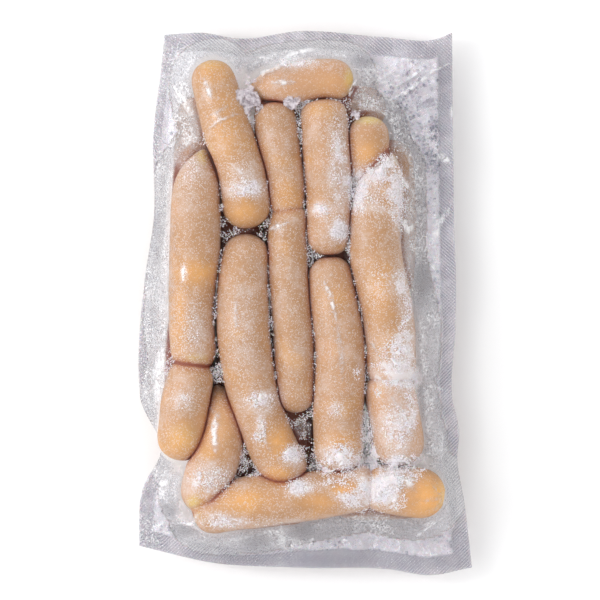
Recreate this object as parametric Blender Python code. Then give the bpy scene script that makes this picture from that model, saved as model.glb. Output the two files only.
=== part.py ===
"""A clear vacuum pouch of frozen sausage links, lying on its back with the shown side up.

X runs across the pouch, Y along it towards its top end, and Z up from the surface that it rests on.
The pouch is sealed and shrunk on to two layers of links, so film and links are one closed solid.
"""

import math

import bmesh
import bpy
import numpy as np

MM = 0.001

# The pouch's four edges, as drawn in by its contents: points in mm from the middle of the pack
TOP_EDGE = [(-77, 147), (-57, 148), (-36, 145), (-3, 149), (41, 146), (73, 145), (80, 148)]
BOTTOM_EDGE = [(-91, -132), (-79, -135), (-52, -141), (-3, -144), (46, -145), (68, -148), (91, -144)]
LEFT_EDGE = [
    (-91, -132), (-89, -101), (-79, -80), (-90, -52), (-91, -39),
    (-87, 19), (-83, 46), (-83, 95), (-79, 128), (-77, 147),
]
RIGHT_EDGE = [
    (91, -144), (87, -110), (83, -82), (84, -71), (80, -50), (82, -14), (81, 57), (80, 148),
]

HALF_WIDTH = 90 * MM
HALF_LENGTH = 150 * MM

# The seam where the front film meets the back film
SEAM_HEIGHT = 19.5 * MM
SEAM_THICKNESS = 1.2 * MM
SEAM_WAVE = 1.6 * MM
WAVES_ACROSS = 3.0
WAVES_ALONG = 4.5
WAVE_PHASE = 0.8

# The film between the links: how far above a link's axis it lies, how far out from the axis it
# starts to fall, both as shares of the link's radius, and how steeply it falls from there
FILM_RISE = 0.36
FILM_REACH = 0.86
FILM_SLOPE = math.radians(60)
FILM_STEPS = 24
FILM_RELAXING = 2
COLUMNS = 32
ROWS = 50

# Links: a smooth route from tip to tip, as (x, y, height of the axis, radius), all in mm
UPPER_LINKS = {
    "top_left": [(-54, 135, 30, 12.0), (-47, 114, 34, 13.3), (-41, 89, 36, 13.6), (-34, 68, 36, 13.0),
                 (-31, 41, 35, 12.6)],
    "top_crosswise": [(-31, 116, 31, 10.2), (-11, 119, 33, 10.8), (8, 122, 33, 11.0), (26, 121, 32, 10.4)],
    "centre_upper": [(-18, 111, 33, 11.0), (-15, 89, 34, 11.4), (-11, 68, 34, 10.2), (-10, 50, 33, 9.6)],
    "centre_lower": [(-9, 52, 33, 9.8), (-10, 29, 34, 10.5), (-7, -9, 35, 10.7), (-5, -59, 34, 10.0)],
    "right_of_centre_upper": [(9, 111, 33, 12.2), (11, 89, 35, 12.6), (13, 57, 35, 12.0), (12, 26, 34, 11.4)],
    "left_of_centre_lower": [(-31, 38, 33, 11.6), (-34, 8, 35, 13.8), (-32, -31, 36, 13.8), (-24, -63, 35, 13.2),
                             (-7, -99, 33, 13.0)],
    "right_of_centre_lower": [(12, 26, 33, 11.0), (15, 2, 35, 12.8), (19, -25, 36, 13.4), (18, -52, 36, 13.4),
                              (18, -92, 33, 13.0)],
    "left_upper": [(-55, 84, 30, 9.5), (-59, 62, 34, 12.6), (-60, 29, 35, 13.2), (-62, -3, 35, 12.0),
                   (-60, -33, 34, 11.6)],
    "left_lower": [(-60, -34, 34, 11.4), (-65, -52, 34, 12.8), (-68, -85, 31, 13.0)],
    "left_foot": [(-48, -44, 25, 9.0), (-45, -69, 31, 12.0), (-52, -90, 34, 14.0), (-62, -112, 32, 12.5)],
    "bottom_crosswise": [(-61, -113, 32, 12.0), (-36, -109, 34, 13.2), (-3, -105, 34, 13.0), (38, -98, 32, 12.4)],
    "bottom_right": [(33, -99, 31, 12.0), (57, -102, 34, 13.4), (75, -105, 33, 13.2)],
    "right_lower": [(42, -37, 29, 12.0), (47, -55, 34, 13.6), (53, -88, 34, 13.4)],
    "right_upper": [(47, 82, 31, 9.0), (39, 57, 35, 13.2), (38, 29, 36, 13.6), (45, -9, 36, 13.6),
                    (47, -46, 35, 13.0)],
    "right_end": [(35, 102, 33, 10.6), (34, 89, 33, 11.2), (33, 60, 25, 11.2)],
}
LOWER_LINKS = {
    "back_top_crosswise": [(-28, 109, 12, 12.2), (8, 108, 12, 12.8), (44, 106, 12, 12.2)],
    "back_left_upper": [(-57, 113, 12, 12.0), (-60, 70, 12, 12.6), (-60, 14, 12, 12.6)],
    "back_left_lower": [(-60, 9, 12, 12.6), (-64, -38, 12, 13.4), (-58, -87, 12, 12.6)],
    "back_second_upper": [(-34, 95, 12, 12.2), (-36, 52, 12, 12.8), (-35, -1, 12, 12.4)],
    "back_second_lower": [(-35, -5, 12, 12.4), (-37, -50, 12, 13.0), (-33, -95, 12, 12.4)],
    "back_third_upper": [(-9, 94, 12, 12.4), (-10, 50, 12, 13.0), (-8, 10, 12, 12.4)],
    "back_third_lower": [(-8, 5, 12, 12.4), (-10, -44, 12, 13.2), (-6, -93, 12, 12.4)],
    "back_fourth_upper": [(17, 92, 12, 12.4), (17, 40, 12, 13.4), (18, -8, 12, 12.6)],
    "back_fourth_lower": [(18, -12, 12, 12.6), (19, -50, 12, 13.4), (20, -90, 12, 12.6)],
    "back_right_upper": [(46, 90, 12, 12.0), (48, 50, 12, 12.8), (46, 2, 12, 12.8)],
    "back_right_lower": [(46, -2, 12, 12.8), (46, -45, 12, 13.4), (49, -88, 12, 12.6)],
    "back_bottom_left": [(-60, -112, 12, 12.2), (-26, -110, 12, 12.8), (9, -106, 12, 12.2)],
    "back_bottom_right": [(14, -105, 12, 12.2), (42, -106, 12, 12.6), (71, -103, 12, 12.4)],
}
ROUTE_STEPS = 240
LINK_SIDES_RESOLUTION = 4
UPPER_RING_SPACING = 13.0 * MM
LOWER_RING_SPACING = 22.0 * MM
# Where the rings of a round end lie, as the angle from the tip seen from the end's centre
END_ANGLES = [math.radians(a) for a in (20, 48)]

WELD = 0.01 * MM
BASE_WELD = 0.001 * MM
FILM_COLOUR = (0.86, 0.66, 0.50, 1.0)
FILM_ROUGHNESS = 0.25
SHARP_FROM = math.radians(40)


def clear_scene():
    for thing in list(bpy.data.objects):
        bpy.data.objects.remove(thing, do_unlink=True)


def smooth_through(points, count):
    """Points evenly spaced along a smooth curve through the given ones."""
    given = np.array(points, float)
    reach = np.r_[0, np.cumsum(np.linalg.norm(np.diff(given[:, :2], axis=0), axis=1))]
    slope = np.gradient(given, reach, axis=0)
    at = np.linspace(0, reach[-1], 20 * count)
    first = np.clip(np.searchsorted(reach, at, side="right") - 1, 0, len(given) - 2)
    span = (reach[first + 1] - reach[first])[:, None]
    t = (at[:, None] - reach[first][:, None]) / span
    curve = (
        (2 * t**3 - 3 * t**2 + 1) * given[first]
        + (t**3 - 2 * t**2 + t) * span * slope[first]
        + (3 * t**2 - 2 * t**3) * given[first + 1]
        + (t**3 - t**2) * span * slope[first + 1]
    )
    walked = np.r_[0, np.cumsum(np.linalg.norm(np.diff(curve, axis=0), axis=1))]
    even = np.linspace(0, walked[-1], count)
    return np.column_stack([np.interp(even, walked, axis) for axis in curve.T])


def link_rings(route, spacing):
    """Ring centres and radii in metres along a link, with both ends rounded off."""
    fine = smooth_through(route, ROUTE_STEPS) * MM
    walked = np.r_[0, np.cumsum(np.linalg.norm(np.diff(fine[:, :3], axis=0), axis=1))]
    length = walked[-1]
    first, last = fine[0, 3], fine[-1, 3]
    middle = max(2, round((length - first - last) / spacing) + 1)
    places = [(first * (1 - math.cos(a)), math.sin(a)) for a in END_ANGLES]
    places += [(s, 1.0) for s in np.linspace(first, length - last, middle)]
    places += [(length - last * (1 - math.cos(a)), math.sin(a)) for a in reversed(END_ANGLES)]
    return [
        (*(np.interp(s, walked, fine[:, k]) for k in range(3)), share * np.interp(s, walked, fine[:, 3]))
        for s, share in places
    ]


def all_rings():
    """The rings of every link, by the link's name."""
    upper = {name: link_rings(route, UPPER_RING_SPACING) for name, route in UPPER_LINKS.items()}
    lower = {name: link_rings(route, LOWER_RING_SPACING) for name, route in LOWER_LINKS.items()}
    return {**upper, **lower}


def make_link(name, rings):
    """One link: a curve with a round bevel whose radius follows the rings, made a closed mesh."""
    path = bpy.data.curves.new(name, "CURVE")
    path.dimensions = "3D"
    path.bevel_depth = 1.0
    path.bevel_resolution = LINK_SIDES_RESOLUTION
    path.use_fill_caps = True
    spline = path.splines.new("POLY")
    spline.points.add(len(rings) - 1)
    for point, (x, y, z, radius) in zip(spline.points, rings):
        point.co = (x, y, z, 1)
        point.radius = radius
    guide = bpy.data.objects.new(name, path)
    bpy.context.scene.collection.objects.link(guide)
    bpy.context.view_layer.update()
    mesh = bpy.data.meshes.new_from_object(guide.evaluated_get(bpy.context.evaluated_depsgraph_get()))
    bpy.data.objects.remove(guide, do_unlink=True)
    shape = bmesh.new()
    shape.from_mesh(mesh)
    bmesh.ops.remove_doubles(shape, verts=shape.verts, dist=WELD)
    bmesh.ops.recalc_face_normals(shape, faces=shape.faces)
    shape.to_mesh(mesh)
    shape.free()
    return bpy.data.objects.new(name, mesh)


def pouch_plan():
    """Grid points over the pouch's outline, blended from its four edges, as (columns, rows, 2)."""
    top, bottom = (smooth_through(edge, COLUMNS + 1) for edge in (TOP_EDGE, BOTTOM_EDGE))
    left, right = (smooth_through(edge, ROWS + 1) for edge in (LEFT_EDGE, RIGHT_EDGE))
    u = np.linspace(0, 1, COLUMNS + 1)[:, None, None]
    v = np.linspace(0, 1, ROWS + 1)[None, :, None]
    along = (1 - v) * bottom[:, None] + v * top[:, None]
    across = (1 - u) * left[None] + u * right[None]
    corners = (1 - u) * ((1 - v) * bottom[0] + v * top[0]) + u * ((1 - v) * bottom[-1] + v * top[-1])
    return (along + across - corners) * MM


def stretched_over(plan, routes, side):
    """How high film stretched between the links lies over the plan, or how low for side -1."""
    height = np.full(plan.shape[:2], -np.inf)
    for route in routes.values():
        for x, y, z, radius in smooth_through(route, FILM_STEPS) * MM:
            away = np.hypot(plan[..., 0] - x, plan[..., 1] - y)
            fall = math.tan(FILM_SLOPE) * np.clip(away - FILM_REACH * radius, 0, None)
            height = np.maximum(height, side * z + FILM_RISE * radius - fall)
    for _ in range(FILM_RELAXING):
        height[1:-1] = (height[:-2] + 2 * height[1:-1] + height[2:]) / 4
        height[:, 1:-1] = (height[:, :-2] + 2 * height[:, 1:-1] + height[:, 2:]) / 4
    return height


def seam_heights(plan):
    """The seam's own gentle waves."""
    x, y = plan[..., 0] / HALF_WIDTH, plan[..., 1] / HALF_LENGTH
    ends = np.sin(WAVES_ACROSS * math.pi * x + WAVE_PHASE) * y**2
    sides = np.sin(WAVES_ALONG * math.pi * y) * x**2
    return SEAM_HEIGHT + SEAM_WAVE * (ends + sides)


def make_film(name):
    """The film as a thick skin: front and back sheets split into triangles alike, joined at the rim."""
    plan = pouch_plan()
    seam = seam_heights(plan)
    routes = {**UPPER_LINKS, **LOWER_LINKS}
    front = np.maximum(seam + SEAM_THICKNESS / 2, stretched_over(plan, routes, 1))
    back = np.minimum(seam - SEAM_THICKNESS / 2, -stretched_over(plan, routes, -1))
    shape = bmesh.new()
    sheets = [
        [[shape.verts.new((*plan[i, j], z[i, j])) for j in range(ROWS + 1)] for i in range(COLUMNS + 1)]
        for z in (front, back)
    ]
    for sheet, facing in zip(sheets, (1, -1)):
        for i in range(COLUMNS):
            for j in range(ROWS):
                a, b, c, d = sheet[i][j], sheet[i + 1][j], sheet[i + 1][j + 1], sheet[i][j + 1]
                halves = [(a, b, c), (a, c, d)] if (i + j) % 2 else [(a, b, d), (b, c, d)]
                for half in halves:
                    shape.faces.new(half[::facing])
    rim = [(i, 0) for i in range(COLUMNS)] + [(COLUMNS, j) for j in range(ROWS)]
    rim += [(i, ROWS) for i in range(COLUMNS, 0, -1)] + [(0, j) for j in range(ROWS, 0, -1)]
    for (i, j), (k, m) in zip(rim, rim[1:] + rim[:1]):
        shape.faces.new((sheets[1][i][j], sheets[1][k][m], sheets[0][k][m], sheets[0][i][j]))
    mesh = bpy.data.meshes.new(name)
    shape.to_mesh(mesh)
    shape.free()
    return bpy.data.objects.new(name, mesh)


def join_links(film):
    """Joins every link to the film with one Boolean union, then removes the links."""
    scene = bpy.context.scene
    scene.collection.objects.link(film)
    links = bpy.data.collections.new("links")
    scene.collection.children.link(links)
    for name, rings in all_rings().items():
        links.objects.link(make_link(name, rings))
    union = film.modifiers.new("links", "BOOLEAN")
    union.operation = "UNION"
    union.operand_type = "COLLECTION"
    union.collection = links
    bpy.context.view_layer.update()
    joined = bpy.data.meshes.new_from_object(film.evaluated_get(bpy.context.evaluated_depsgraph_get()))
    film.modifiers.clear()
    film.data = joined
    for link in list(links.objects):
        bpy.data.objects.remove(link, do_unlink=True)
    bpy.data.collections.remove(links)


def flatten_base(pack):
    """Cuts the back links flat where they rest, and closes the cuts."""
    shape = bmesh.new()
    shape.from_mesh(pack.data)
    everything = shape.verts[:] + shape.edges[:] + shape.faces[:]
    bmesh.ops.bisect_plane(
        shape, geom=everything, dist=BASE_WELD, plane_co=(0, 0, 0), plane_no=(0, 0, -1), clear_outer=True
    )
    bmesh.ops.holes_fill(shape, edges=[edge for edge in shape.edges if edge.is_boundary], sides=0)
    bmesh.ops.recalc_face_normals(shape, faces=shape.faces)
    shape.to_mesh(pack.data)
    shape.free()


def centre_plan(pack):
    """Moves the pack so that its middle, seen from above, is the origin."""
    places = np.array([vertex.co for vertex in pack.data.vertices])
    middle = (places.min(axis=0) + places.max(axis=0)) / 2
    for vertex in pack.data.vertices:
        vertex.co.x -= middle[0]
        vertex.co.y -= middle[1]


def finish(pack):
    film = bpy.data.materials.new("film_over_links")
    film.use_nodes = True
    shader = film.node_tree.nodes["Principled BSDF"]
    shader.inputs["Base Color"].default_value = FILM_COLOUR
    shader.inputs["Roughness"].default_value = FILM_ROUGHNESS
    shader.inputs["Metallic"].default_value = 0.0
    pack.data.materials.clear()
    pack.data.materials.append(film)
    pack.data.shade_smooth()
    pack.data.set_sharp_from_angle(angle=SHARP_FROM)


clear_scene()
vacuum_pack = make_film("vacuum_pack")
join_links(vacuum_pack)
flatten_base(vacuum_pack)
centre_plan(vacuum_pack)
finish(vacuum_pack)
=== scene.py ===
import math
import random

import bpy
import numpy as np
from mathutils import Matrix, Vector, noise


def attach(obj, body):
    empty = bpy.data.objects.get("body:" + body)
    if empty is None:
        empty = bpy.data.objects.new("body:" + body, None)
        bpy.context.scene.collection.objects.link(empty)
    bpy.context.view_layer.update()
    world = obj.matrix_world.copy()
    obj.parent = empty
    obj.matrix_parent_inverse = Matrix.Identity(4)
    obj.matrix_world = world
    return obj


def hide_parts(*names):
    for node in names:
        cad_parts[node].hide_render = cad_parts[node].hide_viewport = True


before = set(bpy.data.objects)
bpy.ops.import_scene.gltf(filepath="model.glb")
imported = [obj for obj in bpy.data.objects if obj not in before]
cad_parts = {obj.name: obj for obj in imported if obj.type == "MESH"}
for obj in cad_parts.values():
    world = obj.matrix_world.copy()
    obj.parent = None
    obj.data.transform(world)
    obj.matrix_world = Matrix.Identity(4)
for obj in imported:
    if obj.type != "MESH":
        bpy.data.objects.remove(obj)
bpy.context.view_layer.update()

mm = 0.001
planShift = np.array([0.10, -0.54])  # mm, from the plan's own middle to the pack's

# what every piece uses: curves and numbers over the plan


def walked(points):
    # how far along its line each point is
    return np.r_[0, np.cumsum(np.linalg.norm(np.diff(points, axis=0), axis=1))]


def smoothThrough(points, count):
    # evenly spaced points along a smooth curve through the given ones
    given = np.array(points, float)
    reach = walked(given[:, :2])
    slope = np.gradient(given, reach, axis=0)
    at = np.linspace(0, reach[-1], 20 * count)
    first = np.clip(np.searchsorted(reach, at, side="right") - 1, 0, len(given) - 2)
    span = (reach[first + 1] - reach[first])[:, None]
    t = (at[:, None] - reach[first][:, None]) / span
    curve = (
        (2 * t**3 - 3 * t**2 + 1) * given[first]
        + (t**3 - 2 * t**2 + t) * span * slope[first]
        + (3 * t**2 - 2 * t**3) * given[first + 1]
        + (t**3 - t**2) * span * slope[first + 1]
    )
    along = walked(curve)
    even = np.linspace(0, along[-1], count)
    return np.column_stack([np.interp(even, along, axis) for axis in curve.T])


def smoothStep(value, low, high):
    t = np.clip((value - low) / (high - low), 0, 1)
    return t * t * (3 - 2 * t)


def softMax(a, b, width):
    # the greater of two heights, with a fillet of this width where they meet
    h = np.clip(0.5 + 0.5 * (a - b) / width, 0, 1)
    return b + (a - b) * h + width * h * (1 - h)


def valueNoise(x, y, size, seed):
    # smooth noise from 0 to 1 with bumps about this many mm apart
    table = np.random.RandomState(seed).rand(64, 64)
    u, v = (0.82 * x + 0.57 * y) / size + 31.7, (0.82 * y - 0.57 * x) / size + 37.3
    i, j = np.floor(u).astype(int), np.floor(v).astype(int)
    a, b = u - i, v - j
    a, b = a * a * a * (a * (a * 6 - 15) + 10), b * b * b * (b * (b * 6 - 15) + 10)
    i, j = i % 64, j % 64
    k, m = (i + 1) % 64, (j + 1) % 64
    low = table[i, j] * (1 - a) + table[k, j] * a
    high = table[i, m] * (1 - a) + table[k, m] * a
    return low * (1 - b) + high * b


def spotsAt(spots, x, y, firm=1.5):
    # soft-edged spots: x, y, reach across, reach along in mm, and how much
    level = np.zeros(np.shape(x))
    for px, py, across, along, much in spots:
        away = ((x - px) / across) ** 2 + ((y - py) / along) ** 2
        level = np.maximum(level, much * np.exp(-(away**firm)))
    return level


# what every piece uses: meshes


def select(*pieces):
    # these alone, the first of them active
    bpy.ops.object.select_all(action="DESELECT")
    for piece in pieces:
        piece.select_set(True)
    bpy.context.view_layer.objects.active = pieces[0]


def coordsOf(piece):
    flat = np.empty(len(piece.data.vertices) * 3)
    piece.data.vertices.foreach_get("co", flat)
    return flat.reshape(-1, 3)


def setCoords(piece, places):
    piece.data.vertices.foreach_set("co", np.asarray(places, float).reshape(-1))
    piece.data.update()


def setValues(piece, name, values):
    # one number a vertex, for the materials to read
    layer = piece.data.attributes.new(name, "FLOAT", "POINT")
    layer.data.foreach_set("value", np.asarray(values, float))


def toPack(places):
    # plan mm to the pack's metres
    places = np.array(places, float)
    places[:, :2] += planShift
    return places * mm


def pieceFrom(name, places, faces):
    # a mesh of its own from points in plan mm
    mesh = bpy.data.meshes.new(name)
    mesh.from_pydata([tuple(p) for p in toPack(places)], [], faces)
    piece = bpy.data.objects.new(name, mesh)
    bpy.context.scene.collection.objects.link(piece)
    return piece


# what every piece uses: materials


def newMaterial(name):
    paint = bpy.data.materials.new(name)
    paint.use_nodes = True
    return paint, paint.node_tree


def setInputs(tree, node, inputs):
    # a socket is linked, a number or a colour is set
    for key, value in inputs.items():
        socket = node.inputs[key]
        if isinstance(value, bpy.types.NodeSocket):
            tree.links.new(value, socket)
        elif isinstance(value, tuple) and len(socket.default_value) == 4:
            socket.default_value = (*value, 1)
        else:
            socket.default_value = value


def addNode(tree, kind, inputs=None, **settings):
    node = tree.nodes.new("ShaderNode" + kind)
    for key, value in settings.items():
        setattr(node, key, value)
    setInputs(tree, node, inputs or {})
    return node


def mathNode(tree, operation, *values, clamp=False):
    return addNode(tree, "Math", dict(enumerate(values)), operation=operation, use_clamp=clamp).outputs[0]


def times(tree, first, *others):
    for other in others:
        first = mathNode(tree, "MULTIPLY", first, other)
    return first


def timesPlus(tree, value, factor, more):
    return mathNode(tree, "MULTIPLY_ADD", value, factor, more)


def rangeNode(tree, value, low, high, toLow=0.0, toHigh=1.0):
    ends = {"From Min": low, "From Max": high, "To Min": toLow, "To Max": toHigh}
    return addNode(tree, "MapRange", {"Value": value, **ends}, interpolation_type="SMOOTHSTEP").outputs[0]


def mixNode(tree, share, first, second):
    # two colours mixed
    return addNode(tree, "Mix", {0: share, 6: first, 7: second}, data_type="RGBA").outputs[2]


def valueOf(tree, name):
    return addNode(tree, "Attribute", attribute_name=name).outputs["Fac"]


def placeOn(tree):
    return addNode(tree, "TexCoord").outputs["Object"]


def noiseNode(tree, coord, scale, detail=2.0, roughness=0.5):
    inputs = {"Vector": coord, "Scale": scale, "Detail": detail, "Roughness": roughness}
    return addNode(tree, "TexNoise", inputs).outputs["Fac"]


def bumpNode(tree, height, strength, distance):
    return addNode(tree, "Bump", {"Height": height, "Strength": strength, "Distance": distance}).outputs[0]


def mirrorShare(tree, normal=None):
    # how much a clear film mirrors: the same from either face
    facing = addNode(tree, "LayerWeight", {"Blend": 0.5, **({"Normal": normal} if normal else {})})
    steep = mathNode(tree, "POWER", facing.outputs["Facing"], 5.0)
    return timesPlus(tree, steep, 0.96, 0.04)


def mixShaders(tree, share, first, second):
    return addNode(tree, "MixShader", {0: share, 1: first.outputs[0], 2: second.outputs[0]})


def setSurface(tree, shader):
    tree.links.new(shader.outputs[0], tree.nodes["Material Output"].inputs["Surface"])


# camera and light

view = {"lens": 300, "sensor": 36, "across": 327.0, "middle": (-3.0, 2.2), "height": 25.0, "clip": (0.1, 50)}

studio = {
    "key": {"from": (-0.92, 0.12, 0.90), "away": 1.3, "size": (0.06, 0.75), "power": 2.2},
    "window": {"from": (-0.80, 0.10, 0.62), "edge": (0.70, 0.96), "glow": 1.3},
    "sky": 0.90,
    "dimSide": -0.02,
    "floor": {"colour": (0.975, 0.975, 0.98), "across": 12, "under": 0.0002},
}


def placeCamera():
    data = bpy.data.cameras.new("topCamera")
    data.lens = view["lens"]
    data.sensor_width = view["sensor"]
    data.clip_start, data.clip_end = view["clip"]
    camera = bpy.data.objects.new("topCamera", data)
    bpy.context.scene.collection.objects.link(camera)
    x, y = (np.array(view["middle"]) + planShift) * mm
    away = view["across"] * view["lens"] / view["sensor"]
    camera.location = (x, y, (view["height"] + away) * mm)
    bpy.context.scene.camera = camera


def softbox(name, facts):
    data = bpy.data.lights.new(name, "AREA")
    data.shape = "RECTANGLE"
    data.size, data.size_y = facts["size"]
    data.energy = facts["power"]
    lamp = bpy.data.objects.new(name, data)
    bpy.context.scene.collection.objects.link(lamp)
    direction = Vector(facts["from"]).normalized()
    lamp.location = direction * facts["away"]
    lamp.rotation_mode = "QUATERNION"
    lamp.rotation_quaternion = direction.to_track_quat("Z", "Y")
    lamp.visible_camera = False


def lightWorld():
    # an even white sky with a brighter soft window at one side
    world = bpy.data.worlds.new("studioWorld")
    world.use_nodes = True
    tree, window = world.node_tree, studio["window"]
    ways = {0: addNode(tree, "TexCoord").outputs["Generated"], 1: Vector(window["from"]).normalized()}
    toWindow = addNode(tree, "VectorMath", operation="DOT_PRODUCT")
    setInputs(tree, toWindow, ways)
    facing = toWindow.outputs["Value"]
    sky = timesPlus(tree, facing, studio["dimSide"], studio["sky"])
    glow = rangeNode(tree, facing, *window["edge"], 0.0, window["glow"])
    strength = mathNode(tree, "ADD", sky, glow)
    setInputs(tree, tree.nodes["Background"], {"Color": (1, 1, 1), "Strength": strength})
    bpy.context.scene.world = world


def makeFloor():
    facts = studio["floor"]
    bpy.ops.object.select_all(action="DESELECT")
    bpy.ops.mesh.primitive_plane_add(size=facts["across"], location=(0, 0, -facts["under"]))
    floor = bpy.context.active_object
    floor.name = "studioFloor"
    bpy.ops.object.transform_apply(location=True, rotation=True, scale=True)
    paint, tree = newMaterial("paleFloor")
    look = {"Base Color": facts["colour"], "Roughness": 0.9, "Specular IOR Level": 0.1}
    setInputs(tree, tree.nodes["Principled BSDF"], look)
    floor.data.materials.append(paint)


placeCamera()
softbox("windowLight", studio["key"])
lightWorld()
makeFloor()
bpy.context.scene.view_settings.view_transform = "Standard"
print("camera and light placed")

# where the links lie: (x, y, height of the axis, radius) in mm, tip to tip

upperLinks = {
    "linkTopLeft": {
        "route": [(-53, 132, 30, 10.8), (-48, 114, 34, 12.0), (-42, 93, 36, 12.9), (-34, 68, 36, 12.8),
                  (-31, 41, 35, 12.5)],
        "ends": ("round", "round"), "tone": 0.75},
    "linkTopCrosswise": {
        "route": [(-31, 116, 31, 10.2), (-11, 119, 33, 10.8), (8, 122, 33, 11.0), (26, 121, 32, 10.4)],
        "ends": ("pointed", "round"), "tone": 0.0},
    "linkCentreUpper": {
        "route": [(-18, 111, 33, 11.0), (-15, 89, 34, 11.4), (-11, 68, 34, 10.2), (-10, 50, 33, 9.6)],
        "ends": ("round", "necked"), "tone": 0.5},
    "linkCentreLower": {
        "route": [(-9, 52, 33, 9.8), (-10, 29, 34, 10.5), (-7, -9, 35, 10.7), (-5, -59, 34, 10.0)],
        "ends": ("necked", "round"), "tone": 0.75},
    "linkRightOfCentreUpper": {
        "route": [(9, 111, 33, 12.2), (11, 89, 35, 12.6), (13, 57, 35, 12.0), (12, 26, 34, 11.4)],
        "ends": ("blunt", "round"), "tone": 0.4},
    "linkLeftOfCentreLower": {
        "route": [(-31, 38, 33, 11.6), (-34, 8, 35, 13.8), (-32, -31, 36, 13.8), (-24, -63, 35, 13.2),
                  (-7, -99, 33, 13.0)],
        "ends": ("round", "round"), "tone": 0.5},
    "linkRightOfCentreLower": {
        "route": [(12, 26, 33, 11.0), (15, 2, 35, 12.8), (19, -25, 36, 13.4), (18, -52, 36, 13.4),
                  (18, -92, 33, 13.0)],
        "ends": ("round", "round"), "tone": 0.4},
    "linkLeftUpper": {
        "route": [(-55, 84, 30, 9.5), (-59, 62, 34, 12.6), (-60, 29, 35, 13.2), (-62, -3, 35, 12.0),
                  (-60, -37, 34, 11.8)],
        "ends": ("pointed", "round"), "tone": 0.5},
    "linkLeftLower": {
        "route": [(-60, -29, 34, 11.4), (-65, -52, 34, 12.8), (-68, -85, 31, 13.0)],
        "ends": ("round", "round"), "tone": 0.45},
    "linkLeftFoot": {
        "route": [
            (-48, -44, 25, 9.0), (-45, -69, 31, 12.0), (-51.5, -91, 34, 13.3), (-58.5, -113.5, 32, 11.4),
        ],
        "ends": ("pointed", "round"), "tone": 0.3},
    "linkBottomCrosswise": {
        "route": [(-61, -114.5, 33, 9.6), (-49, -112.8, 35, 11.4), (-37, -109, 35, 13.4), (-3, -105, 34, 13.0),
                  (38, -98, 32, 12.4)],
        "ends": ("round", "blunt"), "tone": 0.4},
    "linkBottomRight": {
        "route": [(33, -99, 31, 12.0), (57, -102, 34, 13.4), (75, -105, 33, 13.2)],
        "ends": ("blunt", "puckered"), "tone": 0.55},
    "linkRightLower": {
        "route": [(44, -37, 33, 12.8), (47, -55, 34, 13.6), (53, -88, 34, 13.4)],
        "ends": ("blunt", "round"), "tone": 0.15},
    "linkRightUpper": {
        "route": [(47, 82, 31, 9.0), (39, 57, 35, 13.2), (38, 29, 36, 13.6), (45, -9, 36, 13.6),
                  (47, -44, 35, 13.2)],
        "ends": ("pointed", "blunt"), "tone": 0.6},
    "linkRightEnd": {
        "route": [(35, 102, 33, 10.6), (34, 89, 33, 11.2), (33, 60, 25, 11.2)],
        "ends": ("round", "round"), "tone": 0.45},
}
lowerLinks = {
    "backTopCrosswise": [(-28, 109, 12, 12.2), (8, 108, 12, 12.8), (44, 106, 12, 12.2)],
    "backLeftUpper": [(-57, 113, 12, 12.0), (-60, 70, 12, 12.6), (-60, 14, 12, 12.6)],
    "backLeftLower": [(-60, 9, 12, 12.6), (-64, -38, 12, 13.4), (-58, -87, 12, 12.6)],
    "backSecondUpper": [(-34, 95, 12, 12.2), (-36, 52, 12, 12.8), (-35, -1, 12, 12.4)],
    "backSecondLower": [(-35, -5, 12, 12.4), (-37, -50, 12, 13.0), (-33, -95, 12, 12.4)],
    "backThirdUpper": [(-9, 94, 12, 12.4), (-10, 50, 12, 13.0), (-8, 10, 12, 12.4)],
    "backThirdLower": [(-8, 5, 12, 12.4), (-10, -44, 12, 13.2), (-6, -93, 12, 12.4)],
    "backFourthUpper": [(17, 92, 12, 12.4), (17, 40, 12, 13.4), (18, -8, 12, 12.6)],
    "backFourthLower": [(18, -12, 12, 12.6), (19, -50, 12, 13.4), (20, -90, 12, 12.6)],
    "backRightUpper": [(46, 90, 12, 12.0), (48, 50, 12, 12.8), (46, 2, 12, 12.8)],
    "backRightLower": [(46, -2, 12, 12.8), (46, -45, 12, 13.4), (49, -88, 12, 12.6)],
    "backBottomLeft": [(-60, -112, 12, 12.2), (-26, -110, 12, 12.8), (9, -106, 12, 12.2)],
    "backBottomRight": [(14, -105, 12, 12.2), (42, -106, 12, 12.6), (71, -103, 12, 12.4)],
}


allLinks = dict(upperLinks)
backEnds = [("round", "round"), ("blunt", "round"), ("round", "pinched")]
for number, (name, route) in enumerate(lowerLinks.items()):
    tone = 0.2 + 0.13 * (number * 7 % 5)
    allLinks[name] = {"route": route, "ends": backEnds[number % 3], "tone": tone, "back": True}

linkMesh = {
    "sides": 14, "rings": 18, "endShare": 0.24,
    "lumps": 0.45, "lumpSize": 17.0, "fineLumps": (0.25, 5.0), "swell": 0.45,
    "folds": 9, "foldDeep": {"puckered": (0.95, 9.0), "pinched": (0.55, 5.0)},
    "givesWay": 0.5, "skin": 0.1, "restsFrom": 0.9, "restsAt": 0.45,
}

# each link's route in steps of about 1 mm: x, y, axis height, radius
routeOf = {}
for name, link in allLinks.items():
    length = walked(np.array(link["route"], float)[:, :2])[-1]
    routeOf[name] = smoothThrough(link["route"], int(length) + 1)
    if not link.get("back"):
        routeOf[name][:, 3] += linkMesh["swell"]


def fullRound(name):
    # the route's spheres that touch the link's skin: its two ends are rounded off
    route = routeOf[name]
    along = walked(route[:, :3])
    inside = (along >= 0.9 * route[0, 3]) & (along <= along[-1] - 0.9 * route[-1, 3])
    return route[inside]

# frost: (x, y, reach across, reach along, how much) in mm; less than none is wiped clean

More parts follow.
